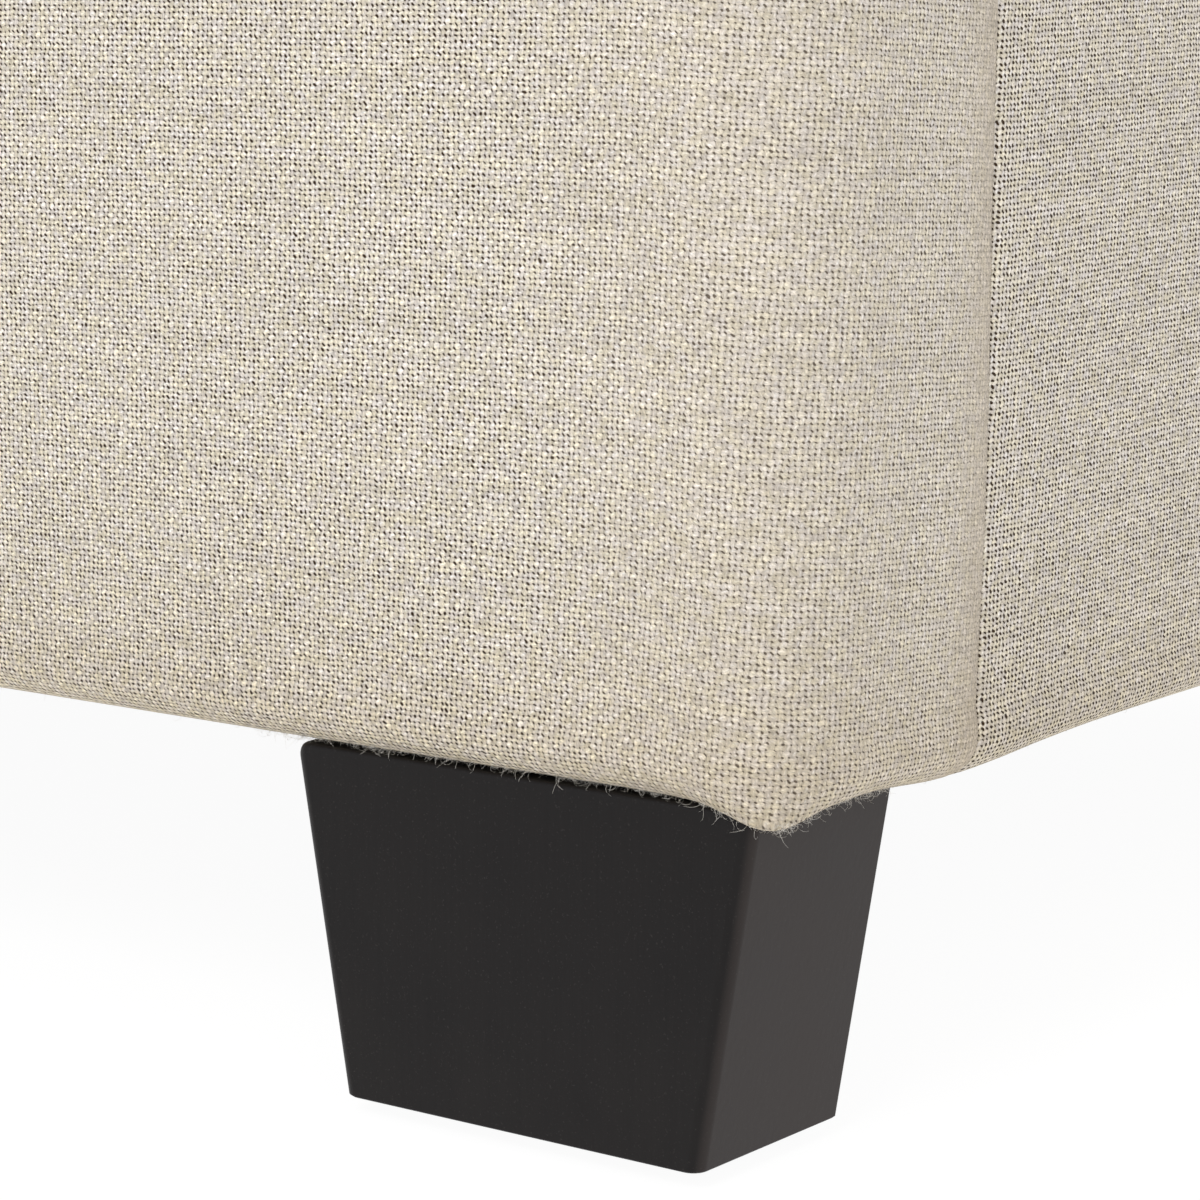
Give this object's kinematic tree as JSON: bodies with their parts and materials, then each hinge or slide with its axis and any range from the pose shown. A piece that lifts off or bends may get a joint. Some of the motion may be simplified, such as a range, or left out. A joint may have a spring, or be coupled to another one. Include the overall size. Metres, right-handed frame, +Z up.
{
  "type": "storage ottoman",
  "caption": "Fabric-upholstered rectangular storage ottoman bench with a padded rear-hinged lid on gas struts and black tapered block feet.",
  "frame": {"origin": "on the floor under the middle of the ottoman's bounding box", "axes": "+X to the right along the front, -Y out of the front, +Z up"},
  "size_m": [1.07, 0.46, 0.455],
  "materials": {
    "upholstery": "matte",
    "plywood": "satin",
    "foam": "matte",
    "lining": "matte",
    "dust_cloth": "matte",
    "black_wood": "satin",
    "steel": "satin",
    "black_steel": "satin",
    "black_plastic": "matte",
    "bumper_rubber": "matte"
  },
  "bodies": {
    "box": {"bottom_panel": "plywood", "front_panel": "plywood", "rear_panel": "plywood", "left_panel": "plywood", "right_panel": "plywood", "corner_screws": "steel", "bottom_screws": "steel", "front_foam": "foam", "rear_foam": "foam", "left_foam": "foam", "right_foam": "foam", "front_cover": "upholstery", "rear_cover": "upholstery", "left_cover": "upholstery", "right_cover": "upholstery", "wall_lining": "lining", "floor_lining": "lining", "dust_cover": "dust_cloth", "front_left_foot": "black_wood", "front_right_foot": "black_wood", "rear_left_foot": "black_wood", "rear_right_foot": "black_wood", "foot_bolts": "steel", "t_nuts": "steel", "glides": "black_plastic", "bumpers": "bumper_rubber", "left_hinge_base_leaf": "steel", "right_hinge_base_leaf": "steel", "left_hinge_pin": "steel", "right_hinge_pin": "steel", "base_hinge_screws": "steel", "left_base_bracket": "black_steel", "right_base_bracket": "black_steel", "base_bracket_screws": "steel"},
    "lid": {"lid_board": "plywood", "lid_foam": "foam", "lid_top_cover": "upholstery", "lid_border_cover": "upholstery", "lid_lining": "lining", "left_hinge_lid_leaf": "steel", "right_hinge_lid_leaf": "steel", "lid_hinge_screws": "steel", "left_lid_bracket": "black_steel", "right_lid_bracket": "black_steel", "lid_bracket_screws": "steel"},
    "left_tube": {"left_strut_tube": "black_steel", "left_strut_guide": "black_plastic", "left_tube_socket": "black_plastic"},
    "left_rod": {"left_strut_rod": "steel", "left_strut_piston": "black_plastic", "left_rod_socket": "black_plastic"},
    "right_tube": {"right_strut_tube": "black_steel", "right_strut_guide": "black_plastic", "right_tube_socket": "black_plastic"},
    "right_rod": {"right_strut_rod": "steel", "right_strut_piston": "black_plastic", "right_rod_socket": "black_plastic"}
  },
  "joints": [
    {"name": "lid_hinge", "type": "hinge", "parent": "box", "child": "lid", "pos_m": [0, 0.2264, 0.377], "axis": [-1, 0, 0], "range_deg": [0, 80]},
    {"name": "left_tube_pivot", "type": "hinge", "parent": "box", "child": "left_tube", "pos_m": [-0.492, 0.1694, 0.1853], "axis": [-1, 0, 0], "range_deg": [0, 40]},
    {"name": "left_rod_pivot", "type": "hinge", "parent": "lid", "child": "left_rod", "pos_m": [-0.492, 0.02676, 0.365], "axis": [-1, 0, 0], "range_deg": [-40, 0]},
    {"name": "right_tube_pivot", "type": "hinge", "parent": "box", "child": "right_tube", "pos_m": [0.492, 0.1694, 0.1853], "axis": [-1, 0, 0], "range_deg": [0, 40]},
    {"name": "right_rod_pivot", "type": "hinge", "parent": "lid", "child": "right_rod", "pos_m": [0.492, 0.02676, 0.365], "axis": [-1, 0, 0], "range_deg": [-40, 0]}
  ],
  "couplings": [
    {"joint": "left_tube_pivot", "follows": "lid_hinge", "ratio": 0.5},
    {"joint": "left_rod_pivot", "follows": "lid_hinge", "ratio": -0.5},
    {"joint": "right_tube_pivot", "follows": "lid_hinge", "ratio": 0.5},
    {"joint": "right_rod_pivot", "follows": "lid_hinge", "ratio": -0.5}
  ]
}
